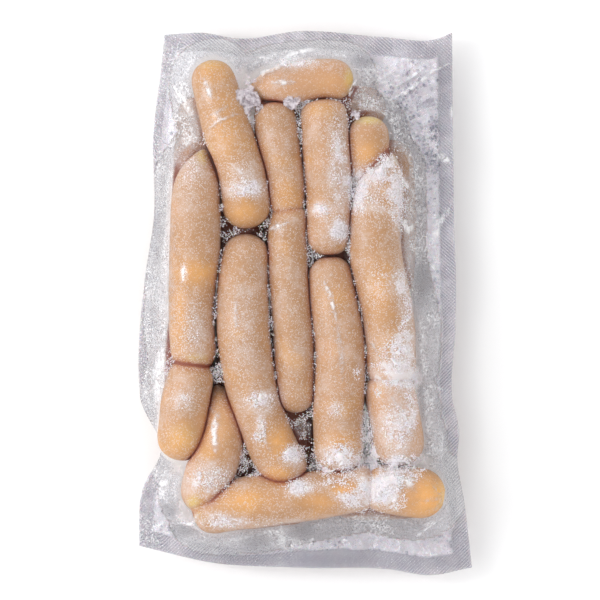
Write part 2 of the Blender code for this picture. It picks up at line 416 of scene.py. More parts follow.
frostPatches = [
    (20, -83, 10, 8, 0.75), (33, -68, 3.5, 9, 0.6), (52, -87, 11, 5, 0.7), (34, -86, 5, 9, 0.45),
    (45, -100, 8, 9, 0.8), (28, -102, 13, 8, 0.6), (16, -107, 14, 4, 0.45), (48, -72, 11, 12, 0.25),
    (37, -89, 2, 3.5, -0.5), (-3, -99, 8, 5, 0.75), (48, -40, 11, 6, 0.45), (-7, -81, 7, 5, 0.85),
    (-24, -52, 10, 5, 0.6), (-24, -68, 3, 8, 0.6), (8, 51, 4, 3.6, 0.85), (17, 43, 7, 9, 0.3),
    (19, 39, 5, 5, 0.6), (18, 78, 6, 26, 0.5), (40, 60, 9, 13, 0.4), (28, 61, 5, 11, 0.8),
    (37, 71, 7, 4, 0.55), (44, 78, 5, 4, 0.75), (33, 88, 7, 7, -0.25), (33, 110, 8, 4, 0.6),
    (51, 57, 5, 19, 0.65), (54, 2, 5, 20, 0.55), (50, -28, 11, 13, 0.6), (43, 10, 9, 11, 0.35),
    (-32, 62, 11, 5, 0.6), (-36, 72, 9, 5, 0.3), (-62, 73, 8, 13, 0.35), (-62, -14, 8, 14, 0.35),
    (-66, -52, 7, 5, 0.4), (-51, -95, 13, 8, 0.6), (-46, -116, 11, 4, 0.4), (-30, -119, 33, 3, 0.35),
    (58, -52, 4, 14, 0.5), (49, -63, 9, 13, 0.35), (16, -57, 5, 4, 0.5), (-33, -14, 7, 22, 0.2),
    (-7, 131, 14, 3, 0.7), (7, 120, 15, 5, -0.35), (-59, 16, 9, 4, -0.4), (67, -105, 11, 11, -1.0),
    (-49, -70, 8, 11, -0.5), (-15, -75, 5, 5, -0.6), (-14, -94, 4, 3, -0.6), (-57, -66, 8, 5, -0.35),
    (21, -97.5, 6, 3, -1.3), (9, -107, 12, 4, -0.7), (47, -3, 7, 11, -0.2), (-33, 49, 10, 7, -0.3),
]
frostEverywhere = 0.28

# where the casing is fatty yellow
yellowSpots = [
    (-54.8, 81.2, 4, 5, 1.0), (24.4, 122, 3.2, 6, 0.9), (34.5, 100.8, 9, 3.2, 1.0), (46.2, 79, 4, 3, 0.9),
    (-60.5, -110.5, 4.2, 6.5, 1.0), (-57.8, -30.8, 8, 3, 0.85), (35.2, -80.7, 3, 3, 0.6),
    (74.5, -104.5, 6, 7, 0.8), (-51, 130, 7, 3, 0.35), (-66, -72, 8, 7, 0.25),
]
# where it is bare of frost and amber
ripeSpots = [
    (67, -105, 11, 11, 1.1), (-43, 96, 9, 22, 0.45), (-15, -93, 6, 5, 0.8), (-14, -74, 7, 8, 0.8),
    (-49, -68, 7, 12, 0.6), (-33, -106, 16, 7, 0.7), (-59, 17, 11, 7, 0.7), (-68, -74, 7, 9, 0.6),
    (40, 8, 7, 16, 0.5), (20, 118, 13, 7, 0.35), (-50, 126, 9, 9, 0.5), (21, -76, 9, 6, 0.6),
    (-33, 49, 9, 6, 0.5), (-10, 60, 6, 8, 0.5), (21, -101, 7, 3.5, 0.8), (-68, -8, 4, 20, 0.5),
    (33, 82, 8, 7, 0.5), (18, 4, 8, 6, 0.4), (47, -22, 7, 9, 0.4), (46, 60, 6, 12, 0.4),
    (8, -107, 10, 5, 0.5),
]
# the painted crevice shade also where the left links are tied off
knotSpots = [(-57.5, -31.5, 8, 3.4, 0.42), (-51, -31, 3, 4, 0.6)]
# where a crevice lies open and its painted shade is lighter
softSpots = [(-60, -108, 8, 6, 0.6), (36, -103, 3, 14, 0.7), (48, -41, 12, 4, 0.7)]


def frostAt(x, y):
    level = np.full(np.shape(x), frostEverywhere)
    for px, py, across, along, much in frostPatches:
        away = ((x - px) / across) ** 2 + ((y - py) / along) ** 2
        level = level + much * np.exp(-(away**1.5) * 0.7)
    return np.clip(level, 0, 1.15)


# the film's settings: the links under it read where it is open to see

film = {
    "across": 214, "along": 350, "size": (166.0, 293.0),
    "seam": 19.5, "wave": 1.6, "apart": 0.25,
    "clear": 0.30, "leaves": 57, "fillet": 11.0,
    "seals": {"top": 10.0, "bottom": 9.8, "left": 7.5, "right": 8.5}, "sealSoft": 0.8,
    "relax": 3, "snowUnder": 0.8, "flatFor": 10.0, "offFloor": 0.12,
    "ruffle": 2.0, "ripple": 1.4, "crinkle": 1.2, "dent": 0.35,
    "creases": [
        # points, height, half width
        ([(-72.8, 119.4), (-67.3, 111.2), (-60.2, 103.0)], 1.6, 3.0),
        ([
            (40.6, 109.5), (51.5, 112.3), (57.0, 116.6), (62.4, 123.2), (69.5, 127.5), (79.8, 132.4),
        ], 1.3, 1.2),
        ([(25.3, 121.0), (50.4, 119.4), (58.0, 124.3), (66.2, 129.7)], 1.2, 1.4),
        ([(27.0, 124.8), (24.8, 118.8), (23.2, 112.8)], 0.9, 1.0),
        ([(79.8, 54.0), (74.4, 43.1), (68.9, 32.2)], 1.5, 2.2),
        ([(57.0, -128.6), (66.8, -120.4), (73.3, -116.6)], 1.1, 1.0),
        ([(-71.1, -113.4), (-65.1, -117.7), (-59.1, -124.3)], 1.0, 1.2),
        ([(-54.0, 93.7), (-47.0, 99.0), (-35.0, 103.4)], 0.5, 1.0),
        ([(46.0, -49.6), (51.5, -58.0), (57.0, -66.0)], 0.7, 1.1),
        ([(51.5, 81.0), (52.6, 56.0), (51.5, 32.0)], 0.8, 1.2),
    ],
    "foldsAndPaintedHighlights": [
        # milky white folds and painted highlights: points, share, half width
        ([(-72.8, 119.9), (-66.0, 109.5), (-61.9, 101.9)], 1.0, 2.0),
        ([(-75.2, 58.0), (-75.8, 40.0), (-76.3, 26.0), (-76.7, 2.2), (-76.3, -26.3)], 0.30, 4.4),
        ([(-77.0, -20.0), (-79.9, -36.0), (-80.0, -54.0)], 0.80, 3.0),
        ([(-79.5, 100.0), (-80.5, 75.0), (-80.5, 62.0)], 0.5, 0.9),
        ([(-13.9, 133.0), (-3.0, 137.3), (9.0, 139.5)], 0.9, 1.5),
        ([(-22.0, 130.5), (-12.0, 131.8), (-1.0, 134.5)], 0.6, 1.0),
        ([(41.0, 109.5), (55.3, 116.0), (69.5, 127.0), (79.8, 131.9)], 1.0, 1.2),
        ([(51.0, 119.9), (66.2, 129.7)], 0.7, 1.0),
        ([(39.0, 121.0), (50.0, 118.5), (57.0, 117.0)], 0.6, 0.8),
        ([(24.8, 128.0), (40.0, 127.5), (44.4, 129.7)], 0.6, 0.8),
        ([(28.6, 123.7), (25.2, 118.0), (23.7, 111.7)], 0.9, 0.8),
        ([(69.5, 81.2), (75.0, 80.0), (79.8, 76.3)], 0.9, 2.4),
        ([(79.9, 113.0), (80.2, 96.0)], 0.8, 0.8),
        ([(51.5, 69.2), (54.8, 65.0), (58.6, 60.5)], 0.9, 1.2),
        ([(51.5, 46.0), (56.0, 41.5), (54.0, 37.0)], 0.9, 2.6),
        ([(79.8, 54.0), (72.0, 42.0), (68.5, 30.5)], 0.95, 1.9),
        ([(68.0, 21.0), (71.0, 18.6)], 0.9, 0.9),
        ([(65.1, -44.1), (70.0, -45.0), (75.5, -46.9)], 0.9, 1.0),
        ([(66.8, -79.0), (82.5, -80.6)], 0.4, 1.5),
        ([(57.5, -129.0), (69.5, -119.4), (77.1, -114.5)], 0.9, 0.8),
        ([(2.0, -128.6), (4.6, -130.4)], 1.0, 1.5),
        ([(20.0, -128.6), (22.0, -129.4)], 1.0, 1.4),
        ([(-54.0, 93.7), (-47.0, 99.0), (-35.0, 103.4)], 0.55, 0.8),
        ([(-54.5, 101.0), (-47.5, 104.0), (-41.0, 107.5)], 0.3, 0.9),
        ([(46.0, -49.6), (51.5, -58.0), (57.0, -66.0)], 0.65, 0.9),
        ([(32.4, -8.7), (34.5, -18.0), (39.5, -27.8)], 0.5, 0.8),
        ([(51.5, 81.0), (52.6, 56.0), (51.5, 32.0)], 0.5, 0.8),
        ([(49.0, -94.0), (55.0, -96.0), (61.0, -94.5)], 0.75, 3.2),
        ([(-48.8, -60.0), (-49.8, -70.0), (-48.6, -81.0)], 0.9, 1.9),
        ([(-52.0, -56.0), (-46.0, -62.0)], 0.4, 1.2),
        ([(-20.0, 120.4), (-12.0, 119.8), (-5.0, 120.2)], 0.75, 1.1),
        ([(-28.0, 121.0), (-20.0, 127.0), (-8.0, 131.5)], 0.6, 1.9),
        ([(-65.8, 21.5), (-66.2, 12.0)], 0.95, 1.1),
        ([(9.6, 13.5), (13.5, 4.0), (16.6, -9.0)], 0.85, 1.1),
        ([(16.6, -9.0), (19.0, -24.0), (20.0, -42.0)], 0.35, 1.2),
        ([(-37.9, 4.0), (-37.6, -14.0)], 0.45, 1.1),
        ([(-20.0, 40.2), (-14.0, 42.3), (-8.5, 44.2)], 0.75, 1.2),
        ([(-55.4, 123.0), (-50.8, 110.5)], 0.9, 1.1),
        ([(-49.0, 105.0), (-46.5, 99.5)], 0.7, 1.0),
        ([(-23.5, -62.0), (-22.0, -74.0), (-18.5, -80.0)], 0.5, 1.1),
        ([(-80.0, -99.0), (-75.0, -95.5)], 0.9, 1.8),
        ([(74.5, -104.7), (62.5, -106.8)], 0.45, 0.8),
        ([(74.5, -104.7), (68.0, -97.0)], 0.35, 0.8),
        ([(74.5, -104.7), (69.5, -112.5)], 0.30, 0.7),
        ([(-71.0, -119.0), (-62.0, -119.5), (-58.0, -113.5)], 0.7, 0.8),
        ([(-44.0, -129.0), (-30.0, -126.5)], 0.5, 1.6),
        ([(-13.0, -119.0), (-12.0, -130.0), (-8.0, -137.0)], 0.6, 2.2),
    ],
    # where the lower links are seen from outside the upper ones
    "openSpots": [
        (-64, 96, 10, 22, 1.0), (54, 76, 8, 24, 1.0), (46, 103, 12, 7, 1.0), (58, 40, 6, 30, 1.0),
        (30, -120, 40, 6, 1.0),
    ],
    # smooth darker grey places in the film, and a darker band along the bottom seal
    "dimSpots": [
        (-77, -112.7, 7.5, 5, 1.0), (-67, -123.5, 8.5, 4.5, 1.0), (-27, -130, 9.5, 5.5, 1.0),
        (-1, -124, 8, 6, 0.9), (58, -109, 6, 4, 0.5), (57, -121, 9, 3, 0.6), (62, -50, 3, 20, 0.8),
        (32, 133, 8, 4, 0.8), (-29, 127, 7, 6, 0.5), (64, 14, 6, 14, 0.8), (-82, 40, 3, 22, 0.5),
        (68, 113, 18, 28, 0.42), (59, 122, 8, 4, 0.7), (71, 70, 9, 26, 0.25), (38, -131, 50, 8, 0.6),
        (-50, -131, 16, 4, 0.4), (0, -140, 98, 7, 0.70),
    ],
}

# the links

casing = {
    "peach": (0.55, 0.305, 0.165),
    "tan": (0.46, 0.250, 0.122),
    "amber": (0.60, 0.315, 0.115),
    "creviceShade": (0.40, 0.15, 0.055),
    "deepCreviceShade": (0.27, 0.072, 0.042),
    "ripe": (0.86, 0.43, 0.125),
    "yellow": (0.68, 0.50, 0.14),
    "frost": (0.76, 0.71, 0.72),
    "roughness": 0.45, "frostRoughness": 0.85, "gloss": 0.3,
    "glow": 0.10, "glowReach": (1.0, 0.45, 0.25), "glowScale": 0.004,
    # how fine each mottling is, in bumps a metre
    "blotches": 75.0, "ambers": 42.0, "clouds": 95.0, "feathers": 260.0, "grains": 1250.0,
    "grainPatches": 700.0,
}

endShapes = {
    # how far from the tip, in radii, and how wide there
    "round": [(0, 0), (0.03, 0.26), (0.12, 0.50), (0.30, 0.75), (0.56, 0.92), (0.95, 1.0), (1.4, 1.0)],
    "blunt": [(0, 0), (0.02, 0.32), (0.07, 0.56), (0.19, 0.79), (0.42, 0.95), (0.8, 1.0), (1.3, 1.0)],
    "pinched": [
        (0, 0), (0.02, 0.10), (0.13, 0.17), (0.22, 0.28), (0.36, 0.54), (0.66, 0.84), (1.3, 1.0),
        (1.8, 1.0),
    ],
    "puckered": [
        (0, 0), (-0.05, 0.10), (-0.03, 0.26), (0.08, 0.52), (0.30, 0.78), (0.6, 0.94), (1.0, 1.0), (1.5, 1.0),
    ],
    "necked": [
        (0, 0), (0.0, 0.30), (0.01, 0.60), (0.03, 0.80), (0.15, 0.90), (0.5, 0.98), (1.0, 1.0), (1.5, 1.0),
    ],
    "pointed": [
        (0, 0), (0.03, 0.14), (0.2, 0.33), (0.5, 0.57), (1.0, 0.82), (1.6, 0.97), (2.1, 1.0), (2.5, 1.0),
    ],
}


def makeBlank():
    # a straight link one unit round: a disc with its middle drawn out, then ring after ring
    bpy.ops.object.select_all(action="DESELECT")
    bpy.ops.mesh.primitive_circle_add(
        vertices=linkMesh["sides"], radius=1, fill_type="TRIFAN", location=(0, 0, 0)
    )
    blank = bpy.context.active_object
    blank.name = "linkBlank"
    for vertex in blank.data.vertices:
        vertex.select = vertex.co.length < 0.1
    bpy.ops.object.mode_set(mode="EDIT")
    bpy.ops.mesh.select_mode(type="VERT")
    bpy.ops.transform.translate(value=(0, 0, -1))
    bpy.ops.mesh.select_all(action="DESELECT")
    bpy.ops.mesh.select_non_manifold()
    for ring in range(linkMesh["rings"] + 1):
        bpy.ops.mesh.extrude_region_move(TRANSFORM_OT_translate={"value": (0, 0, 1)})
    bpy.ops.mesh.merge(type="CENTER")
    bpy.ops.mesh.select_all(action="SELECT")
    bpy.ops.mesh.normals_make_consistent(inside=False)
    bpy.ops.object.mode_set(mode="OBJECT")
    smooth = blank.modifiers.new("smooth", "SUBSURF")
    smooth.levels = smooth.render_levels = 2
    bpy.ops.object.modifier_apply(modifier="smooth")
    return blank


def meridian(u, ends, first, last, length):
    # along the link from pole to pole: how far along the route, and how wide
    share = linkMesh["endShare"]
    s, wide = np.empty_like(u), np.empty_like(u)
    for which, radius, part in ((0, first, u < share), (1, last, u > 1 - share)):
        profile = np.array(endShapes[ends[which]], float)
        steps = np.linspace(0, 1, len(profile))
        fine = smoothThrough(np.column_stack([steps * 6, profile]), 60)
        at = (u[part] if which == 0 else 1 - u[part]) / share
        distance = np.interp(at, fine[:, 0] / 6, fine[:, 1]) * radius
        s[part] = distance if which == 0 else length - distance
        wide[part] = np.interp(at, fine[:, 0] / 6, fine[:, 2])
    body = (u >= share) & (u <= 1 - share)
    start = endShapes[ends[0]][-1][0] * first
    stop = length - endShapes[ends[1]][-1][0] * last
    s[body] = start + (stop - start) * (u[body] - share) / (1 - 2 * share)
    wide[body] = 1.0
    return s, np.clip(wide, 0, 1.02)


def tipFolds(ends, turn, fromTips, number):
    # a gathered end has folds that run out from its tip
    fold = np.zeros_like(turn)
    for end, fromTip in zip(ends, fromTips):
        if end in linkMesh["foldDeep"]:
            deep, reach = linkMesh["foldDeep"][end]
            groove = (0.5 + 0.5 * np.cos(linkMesh["folds"] * turn + number)) ** 2
            fold -= deep * groove * np.exp(-((np.clip(fromTip, 0, 99) / reach) ** 2))
    return fold


def layLink(name, blank, number):
    link, route = allLinks[name], routeOf[name]
    piece = blank.copy()
    piece.data = blank.data.copy()
    piece.name = piece.data.name = name
    bpy.context.scene.collection.objects.link(piece)
    raw = coordsOf(piece)
    u = (raw[:, 2] - raw[:, 2].min()) / np.ptp(raw[:, 2])
    turn = np.arctan2(raw[:, 1], raw[:, 0])
    along = walked(route[:, :3])
    s, wide = meridian(u, link["ends"], route[0, 3], route[-1, 3], along[-1])
    middle = np.column_stack([np.interp(s, along, route[:, k]) for k in range(3)])
    radius = np.interp(s, along, route[:, 3])
    ahead = np.gradient(route[:, :3], along, axis=0)
    ahead = np.column_stack([np.interp(s, along, ahead[:, k]) for k in range(3)])
    ahead /= np.linalg.norm(ahead, axis=1)[:, None]
    aside = np.cross(ahead, (0, 0, 1))
    aside /= np.linalg.norm(aside, axis=1)[:, None]
    up = np.cross(aside, ahead)
    out = np.cos(turn)[:, None] * aside + np.sin(turn)[:, None] * up
    much, fine = linkMesh["fineLumps"]
    lump = np.array([
        noise.noise(Vector(p) / linkMesh["lumpSize"] + Vector((number * 3.1, 0, 0)))
        + much * noise.noise(Vector(p) / fine + Vector((0, number * 2.3, 0)))
        for p in middle + out * radius[:, None]
    ])
    fold = tipFolds(link["ends"], turn, (s, along[-1] - s), number)
    rim = radius * wide + (linkMesh["lumps"] * lump + fold) * smoothStep(wide, 0.05, 0.5)
    return piece, middle + out * rim[:, None]


def giveWay(places, others):
    # moves a link's skin out of the other links' spheres, and says how wide the gap was
    apart = places[:, None, :] - others[None, :, :3]
    far = np.linalg.norm(apart, axis=2)
    skin = far - others[None, :, 3]
    rows, nearest = np.arange(len(places)), skin.argmin(axis=1)
    gapWide = skin[rows, nearest]
    push = linkMesh["givesWay"] * np.clip(linkMesh["skin"] - gapWide, 0, None)
    places = places + apart[rows, nearest] / np.maximum(far[rows, nearest], 1e-6)[:, None] * push[:, None]
    z, low = places[:, 2], linkMesh["restsFrom"]
    places[:, 2] = np.where(z < low, linkMesh["restsAt"] + 0.5 * np.clip(z / low, 0, 1), z)
    return places, gapWide


def settleLinks(laid):
    # where two links press on each other both give way, and the crevice between them is marked for the casing's
    # painted crevice shade
    spheres = {name: fullRound(name) for name in laid}
    upperBalls = np.concatenate([spheres[name] for name in upperLinks])[::2]
    for name, (piece, places) in laid.items():
        low, high = places.min(axis=0) - 4, places.max(axis=0) + 4
        near = []
        for other, balls in spheres.items():
            if other != name:
                close = ((balls[:, :3] + balls[:, 3:] > low) & (balls[:, :3] - balls[:, 3:] < high)).all(axis=1)
                near.append(balls[close])
        places, gapWide = giveWay(places, np.concatenate(near))
        setCoords(piece, toPack(places))
        x, y, z = places.T
        # the gap mark is painted shade: brown near where links meet, near black at the contact
        gap = 0.42 * smoothStep(-gapWide, -5.5, -1.3) + 0.58 * smoothStep(-gapWide, -1.6, -0.3)
        gap = np.maximum(gap, spotsAt(knotSpots, x, y)) * (1 - spotsAt(softSpots, x, y))
        frost = frostAt(x, y)
        if allLinks[name].get("back"):
            # painted shade: under the front links the back links are marked dark
            past = np.linalg.norm(places[:, None, :2] - upperBalls[None, :, :2], axis=2) - upperBalls[None, :, 3]
            openShare = spotsAt(film["openSpots"], x, y)
            gap = np.maximum(
                gap * (1 - openShare * 0.5), smoothStep(-past.min(axis=1), -5.5, -3.0) * (1 - openShare)
            )
            gap = gap * smoothStep(z, 11, 18)
            frost = np.full(len(places), frostEverywhere + 0.25)
        shown = smoothStep(z, 22, 32)
        setValues(piece, "gap", gap)
        setValues(piece, "frost", frost)
        setValues(piece, "yellow", spotsAt(yellowSpots, x, y) * shown)
        setValues(piece, "ripe", spotsAt(ripeSpots, x, y, 0.9) * shown)
        setValues(piece, "tone", np.full(len(places), allLinks[name]["tone"]))


def makeCasing():
    paint, tree = newMaterial("frozenCasing")
    coord = placeOn(tree)
    frost, gap, ripe = valueOf(tree, "frost"), valueOf(tree, "gap"), valueOf(tree, "ripe")
    cloudy = noiseNode(tree, coord, casing["clouds"], 6.0, 0.62)
    feather = noiseNode(tree, coord, casing["feathers"], 7.0, 0.78)
    # the meat's own colour: peach to tan by the link, with amber, yellow and bare places
    warmth = noiseNode(tree, coord, casing["blotches"], 3.0)
    warmth = mathNode(tree, "ADD", warmth, times(tree, valueOf(tree, "tone"), 0.7))
    colour = mixNode(tree, rangeNode(tree, warmth, 0.45, 1.0), casing["peach"], casing["tan"])
    amber = noiseNode(tree, coord, casing["ambers"], 2.0)
    colour = mixNode(tree, rangeNode(tree, amber, 0.55, 0.72, 0, 0.65), colour, casing["amber"])
    colour = mixNode(tree, times(tree, valueOf(tree, "yellow"), 0.85), colour, casing["yellow"])
    riper = times(tree, ripe, rangeNode(tree, cloudy, 0.30, 0.60, 0.45, 0.9))
    colour = mixNode(tree, riper, colour, casing["ripe"])
    # painted shade: the casing turns brown towards a crevice between links
    colour = mixNode(tree, rangeNode(tree, gap, 0.0, 0.6, 0, 0.85), colour, casing["creviceShade"])
    # a veil of frost and single grains on everything, and snow where the patches say
    cell = addNode(tree, "TexVoronoi", {"Vector": coord, "Scale": casing["grains"]})
    grain = rangeNode(tree, cell.outputs["Distance"], 0.25, 0.50, 1.0, 0.0)
    few = timesPlus(tree, frost, 0.35, noiseNode(tree, coord, casing["grainPatches"], 1.0))
    grain = times(tree, grain, rangeNode(tree, few, 0.46, 0.62), rangeNode(tree, frost, 0.0, 0.6, 0.40, 0.95))
    veil = timesPlus(tree, frost, 0.34, times(tree, cloudy, 0.6))
    veil = timesPlus(tree, ripe, -0.25, timesPlus(tree, feather, 0.55, veil))
    veil = rangeNode(tree, veil, 0.58, 1.06, 0.0, 0.72)
    snow = timesPlus(tree, cloudy, 1.1, timesPlus(tree, feather, 2.2, frost))
    snow = rangeNode(tree, snow, 2.38, 2.62)
    cover = mathNode(tree, "MAXIMUM", mathNode(tree, "MAXIMUM", veil, grain), snow)
    colour = mixNode(tree, times(tree, cover, 0.93), colour, casing["frost"])
    # painted shade deep in the crevices, fainter under snow
    deep = times(tree, rangeNode(tree, gap, 0.52, 0.95), rangeNode(tree, snow, 0, 1, 0.92, 0.35))
    colour = mixNode(tree, deep, colour, casing["deepCreviceShade"])
    setInputs(tree, tree.nodes["Principled BSDF"], {
        "Base Color": colour,
        "Roughness": rangeNode(tree, cover, 0, 1, casing["roughness"], casing["frostRoughness"]),
        "Subsurface Weight": casing["glow"],
        "Subsurface Radius": casing["glowReach"],
        "Subsurface Scale": casing["glowScale"],
        "Specular IOR Level": casing["gloss"],
        "Normal": bumpNode(tree, cover, 0.35, 0.0004),
    })
    return paint


blank = makeBlank()
laid = {name: layLink(name, blank, number) for number, name in enumerate(allLinks)}
settleLinks(laid)
bpy.data.objects.remove(blank, do_unlink=True)
linkPieces = [piece for piece, _ in laid.values()]
frozenCasing = makeCasing()
for piece in linkPieces:
    piece.data.materials.append(frozenCasing)
    piece.data.shade_smooth()
print("links laid:", len(linkPieces))

# the pouch's film

topEdge = [(-77, 147), (-57, 148), (-36, 145), (-3, 149), (41, 146), (73, 145), (80, 148)]
bottomEdge = [(-91, -132), (-79, -135), (-52, -141), (-3, -144), (46, -145), (68, -148), (91, -144)]
leftEdge = [
    (-91, -132), (-89, -101), (-79, -80), (-90, -52), (-91, -39),
    (-87, 19), (-83, 46), (-83, 95), (-79, 128), (-77, 147),
]
rightEdge = [(91, -144), (87, -110), (83, -82), (84, -71), (80, -50), (82, -14), (81, 57), (80, 148)]

# where the film clings wet and smooth, so that it mirrors the window
clingSpots = [
    (-52.6, 116, 4, 7, 0.9), (-47.7, 102, 3, 5, 0.8), (13.4, 0, 6, 20, 0.3), (20, -42, 6, 24, 0.3),
    (-65.7, 16.6, 3, 5, 0.9), (-37.9, -6, 4, 14, 0.3), (-13.4, 128.6, 13, 6, 1.0), (-12.5, 119.4, 6, 3, 0.8),
    (-48.2, -70, 5, 11, 1.0), (56.4, -95, 7, 6, 1.0), (67, -105, 11, 11, 0.4), (-14.4, 41.4, 5, 4, 0.6),
    (30, 14, 2, 16, 0.5),
]


def edgePoint(edge, t, count=400):
    fine = smoothThrough(edge, count)
    at = t * (count - 1)
    return np.column_stack([np.interp(at, np.arange(count), fine[:, k]) for k in range(2)])


def pouchPlan(u, v):
    # the plan blended from its four edges
    top, bottom = edgePoint(topEdge, u), edgePoint(bottomEdge, u)
    left, right = edgePoint(leftEdge, v), edgePoint(rightEdge, v)
    corner = [np.array(p, float) for p in (bottomEdge[0], bottomEdge[-1], topEdge[0], topEdge[-1])]
    u, v = u[:, None], v[:, None]
    corners = (1 - u) * ((1 - v) * corner[0] + v * corner[2]) + u * ((1 - v) * corner[1] + v * corner[3])
    return (1 - v) * bottom + v * top + (1 - u) * left + u * right - corners


def seamHeight(x, y):
    ends = np.sin(3.0 * math.pi * x / 90 + 0.8) * (y / 150) ** 2
    sides = np.sin(4.5 * math.pi * y / 150) * (x / 90) ** 2
    return film["seam"] + film["wave"] * (ends + sides)


def stretchedOver(x, y, side):
    # the film's height over the links; side -1 is the back
    steep = math.radians(film["leaves"])
    best = np.full(x.shape, -99.0)
    beyond = {False: -best, True: -best}
    beside = -best
    for name, link in allLinks.items():
        layer, nearest = link.get("back", False), np.full(x.shape, 99.0)
        for bx, by, bz, radius in fullRound(name):
            tight = radius + film["clear"]
            away = np.hypot(x - bx, y - by)
            nearest = np.minimum(nearest, away - radius)
            leaves = tight * math.sin(steep)
            dome = np.sqrt(np.clip(tight**2 - np.minimum(away, leaves) ** 2, 0, None))
            best = np.maximum(best, side * bz + dome - math.tan(steep) * np.clip(away - leaves, 0, None))
        if not layer:
            beside = np.minimum(beside, np.maximum(beyond[False], nearest))
        beyond[layer] = np.minimum(beyond[layer], nearest)
    return best, beyond[False], beyond[True], smoothStep(-beside, -9, -5)


def awayFromLine(x, y, points):
    # how far from the line, and how near the middle of its length: 0 at its ends, 1 half way
    found, share, done = np.full(x.shape, 1e9), np.zeros(x.shape), 0.0
    whole = sum(math.dist(a, b) for a, b in zip(points, points[1:]))
    for (ax, ay), (bx, by) in zip(points, points[1:]):
        dx, dy = bx - ax, by - ay
        t = np.clip(((x - ax) * dx + (y - ay) * dy) / (dx * dx + dy * dy), 0, 1)
        away = np.hypot(x - ax - t * dx, y - ay - t * dy)
        at = (done + t * math.hypot(dx, dy)) / whole
        share = np.where(away < found, np.sin(math.pi * at), share)
        found = np.minimum(found, away)
        done += math.hypot(dx, dy)
    return found, share


def relaxed(height, order):
    # evens out a grid of heights
    grid = height[order]
    for _ in range(film["relax"]):
        grid[1:-1] = (grid[:-2] + 2 * grid[1:-1] + grid[2:]) / 4
        grid[:, 1:-1] = (grid[:, :-2] + 2 * grid[:, 1:-1] + grid[:, 2:]) / 4
    result = height.copy()
    result[order] = grid
    return result


def howFarIn(u, v):
    # mm in from each edge of the pouch
    wide, high = film["size"]
    return {"left": u * wide, "right": (1 - u) * wide, "top": (1 - v) * high, "bottom": v * high}


def sealShare(inFrom):
    # 1 in the bands that are pressed together along the edges
    soft, bands = film["sealSoft"], film["seals"].items()
    return np.maximum.reduce([smoothStep(-inFrom[edge], -wide - soft, -wide + soft) for edge, wide in bands])


def ruffles(x, y, inFrom, loose):
    # they run out from the links to the seal
    nearSide = np.minimum(inFrom["left"], inFrom["right"]) - np.minimum(inFrom["top"], inFrom["bottom"])
    sides = smoothStep(nearSide, 12, -12)

    def outwards(stretch, size, seed, bend=0.0):
        toSides = valueNoise(x + bend, y * stretch, size, seed)
        return toSides * sides + valueNoise(x * stretch, y, size, seed + 1) * (1 - sides)

    wide = outwards(2.2, 15.0, 3)
    fine = outwards(1.7, 4.6, 7, 2 * wide)
    sharp = 1 - np.abs(2 * valueNoise(x + 3 * wide, y * 1.6, 9.0, 5) - 1)
    height = film["ruffle"] * wide + film["crinkle"] * sharp**3
    return loose * (height + film["ripple"] * fine + film["dent"] * valueNoise(x, y, 2.6, 6))


def frontHeight(rest, best, order, flat, snow):
    height = relaxed(softMax(rest, best, film["fillet"]), order)
    return np.maximum(rest + (height - rest) * flat, rest) + film["snowUnder"] * snow


def backHeight(rest, best, order, flat):
    height = relaxed(-softMax(-rest, best, film["fillet"]), order)
    return np.maximum(np.minimum(rest + (height - rest) * flat, rest), film["offFloor"])


# painted highlights and milky folds, white along the listed lines
def milkyAndHighlightShare(x, y):
    milkyAndHighlight = np.zeros(len(x))
    uneven = 0.6 + 0.9 * valueNoise(x, y, 3.2, 51)
    for points, share, wide in film["foldsAndPaintedHighlights"]:
        away, inside = awayFromLine(x, y, points)
        inside = np.clip(inside, 0.02, 1) ** 0.6
        line = np.exp(-((away / (wide * inside * uneven)) ** 2))
        milkyAndHighlight = np.maximum(milkyAndHighlight, share * line * (0.4 + 0.6 * inside))
    return milkyAndHighlight


